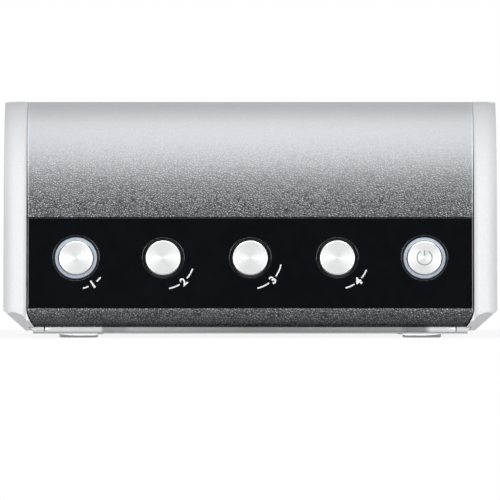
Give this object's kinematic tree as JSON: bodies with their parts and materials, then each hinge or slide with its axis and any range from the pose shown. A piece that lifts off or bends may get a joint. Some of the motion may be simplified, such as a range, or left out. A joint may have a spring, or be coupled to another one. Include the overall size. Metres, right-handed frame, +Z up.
{
  "type": "film negative scanner",
  "caption": "Low desktop scanner for 35 mm negatives: silver cheeks with film doors, grained cover, gloss panel of push buttons, with film transport, lamp and lens inside.",
  "frame": {"origin": "on the table under the middle of the case", "axes": "+Z up, front with the buttons towards -Y, film runs from cheek to cheek along X"},
  "size_m": [0.178, 0.281, 0.0855],
  "materials": {
    "silver_plastic": "satin silver paint on plastic",
    "grained_cover": "fine pebble grain",
    "gloss_black": "piano black gloss",
    "spun_aluminium": "spun, fine rings",
    "light_guide": "frosted translucent",
    "dark_plastic": "fine matt",
    "foot_rubber": "pale clear pad",
    "roller_rubber": "ground",
    "steel": "turned",
    "plated_steel": "zinc plated",
    "acetal": "natural acetal",
    "circuit_board": "green solder mask",
    "clear_glass": "coated optical glass",
    "mirror_glass": "front-silvered"
  },
  "bodies": {
    "case": {"base_pan": "silver_plastic", "cover": "grained_cover", "front_band": "grained_cover", "rear_panel": "dark_plastic", "front_trim": "silver_plastic", "left_trim_end": "silver_plastic", "right_trim_end": "silver_plastic", "left_cheek": "silver_plastic", "right_cheek": "silver_plastic", "left_door_pin": "steel", "right_door_pin": "steel", "front_left_foot": "foot_rubber", "front_right_foot": "foot_rubber", "rear_left_foot": "foot_rubber", "rear_right_foot": "foot_rubber", "button_panel": "gloss_black", "front_frame": "dark_plastic", "button_board": "circuit_board", "eject_light_ring": "light_guide", "power_light_ring": "light_guide", "chassis": "plated_steel", "lower_film_track": "dark_plastic", "upper_film_track": "dark_plastic", "gear_plate": "plated_steel", "transport_motor": "plated_steel", "lamp_housing": "plated_steel", "lamp_diffuser": "light_guide", "mirror": "mirror_glass", "mirror_bracket": "dark_plastic", "lens_bed": "plated_steel", "left_guide_rod": "steel", "right_guide_rod": "steel", "focus_motor": "plated_steel", "sensor_bracket": "plated_steel", "sensor_board": "circuit_board", "main_board": "circuit_board", "usb_socket": "plated_steel", "power_jack": "dark_plastic"},
    "left_door": {"left_film_door": "silver_plastic"},
    "right_door": {"right_film_door": "silver_plastic"},
    "eject_key": {"eject_button": "spun_aluminium"},
    "positive_key": {"positive_button": "spun_aluminium"},
    "negative_key": {"negative_button": "spun_aluminium"},
    "custom_key": {"custom_button": "spun_aluminium"},
    "power_key": {"power_button": "spun_aluminium"},
    "left_drive": {"left_drive_roller": "roller_rubber", "left_roller_gear": "acetal"},
    "right_drive": {"right_drive_roller": "roller_rubber", "right_roller_gear": "acetal"},
    "left_idler": {"left_idler_gear": "acetal"},
    "right_idler": {"right_idler_gear": "acetal"},
    "pinion": {"motor_pinion": "steel"},
    "left_pinch": {"left_pinch_roller": "roller_rubber"},
    "right_pinch": {"right_pinch_roller": "roller_rubber"},
    "focus_screw": {"lead_screw": "steel"},
    "focus_carriage": {"lens_carriage": "dark_plastic", "lens_barrel": "dark_plastic", "lens_glass": "clear_glass"}
  },
  "joints": [
    {"name": "left_door_hinge", "type": "hinge", "parent": "case", "child": "left_door", "pos_m": [-0.0875, -0.08, 0.0453], "axis": [0, -1, 0], "range_deg": [0, 90]},
    {"name": "right_door_hinge", "type": "hinge", "parent": "case", "child": "right_door", "pos_m": [0.0875, -0.08, 0.0453], "axis": [0, 1, 0], "range_deg": [0, 90]},
    {"name": "eject_press", "type": "slide", "parent": "case", "child": "eject_key", "axis": [0, 0.9781, -0.2079], "range_m": [0, 0.001], "stiffness_N_per_m": 300, "springref_m": -0.001},
    {"name": "positive_press", "type": "slide", "parent": "case", "child": "positive_key", "axis": [0, 0.9781, -0.2079], "range_m": [0, 0.001], "stiffness_N_per_m": 300, "springref_m": -0.001},
    {"name": "negative_press", "type": "slide", "parent": "case", "child": "negative_key", "axis": [0, 0.9781, -0.2079], "range_m": [0, 0.001], "stiffness_N_per_m": 300, "springref_m": -0.001},
    {"name": "custom_press", "type": "slide", "parent": "case", "child": "custom_key", "axis": [0, 0.9781, -0.2079], "range_m": [0, 0.001], "stiffness_N_per_m": 300, "springref_m": -0.001},
    {"name": "power_press", "type": "slide", "parent": "case", "child": "power_key", "axis": [0, 0.9781, -0.2079], "range_m": [0, 0.001], "stiffness_N_per_m": 300, "springref_m": -0.001},
    {"name": "left_drive_spin", "type": "hinge", "parent": "case", "child": "left_drive", "pos_m": [-0.055, -0.08, 0.0527], "axis": [0, 1, 0], "continuous": true},
    {"name": "right_drive_spin", "type": "hinge", "parent": "case", "child": "right_drive", "pos_m": [0.055, -0.08, 0.0527], "axis": [0, 1, 0], "continuous": true},
    {"name": "left_idler_spin", "type": "hinge", "parent": "case", "child": "left_idler", "pos_m": [-0.025, -0.08, 0.0527], "axis": [0, 1, 0], "continuous": true},
    {"name": "right_idler_spin", "type": "hinge", "parent": "case", "child": "right_idler", "pos_m": [0.025, -0.08, 0.0527], "axis": [0, 1, 0], "continuous": true},
    {"name": "pinion_spin", "type": "hinge", "parent": "case", "child": "pinion", "pos_m": [0, -0.08, 0.0527], "axis": [0, 1, 0], "continuous": true},
    {"name": "left_pinch_spin", "type": "hinge", "parent": "case", "child": "left_pinch", "pos_m": [-0.055, -0.08, 0.062], "axis": [0, 1, 0], "continuous": true},
    {"name": "right_pinch_spin", "type": "hinge", "parent": "case", "child": "right_pinch", "pos_m": [0.055, -0.08, 0.062], "axis": [0, 1, 0], "continuous": true},
    {"name": "focus_screw_turn", "type": "hinge", "parent": "case", "child": "focus_screw", "pos_m": [0.012, 0.002, 0.016], "axis": [0, 1, 0], "range_deg": [-720, 720]},
    {"name": "focus_slide", "type": "slide", "parent": "case", "child": "focus_carriage", "axis": [0, 1, 0], "range_m": [-0.004, 0.004]}
  ],
  "couplings": [
    {"joint": "right_drive_spin", "follows": "left_drive_spin", "ratio": 1},
    {"joint": "left_idler_spin", "follows": "left_drive_spin", "ratio": -0.66667},
    {"joint": "right_idler_spin", "follows": "left_drive_spin", "ratio": -0.66667},
    {"joint": "pinion_spin", "follows": "left_drive_spin", "ratio": 1.7143},
    {"joint": "left_pinch_spin", "follows": "left_drive_spin", "ratio": -1.25},
    {"joint": "right_pinch_spin", "follows": "left_drive_spin", "ratio": -1.25},
    {"joint": "focus_screw_turn", "follows": "focus_slide", "rad_per_m": 3141.6}
  ]
}
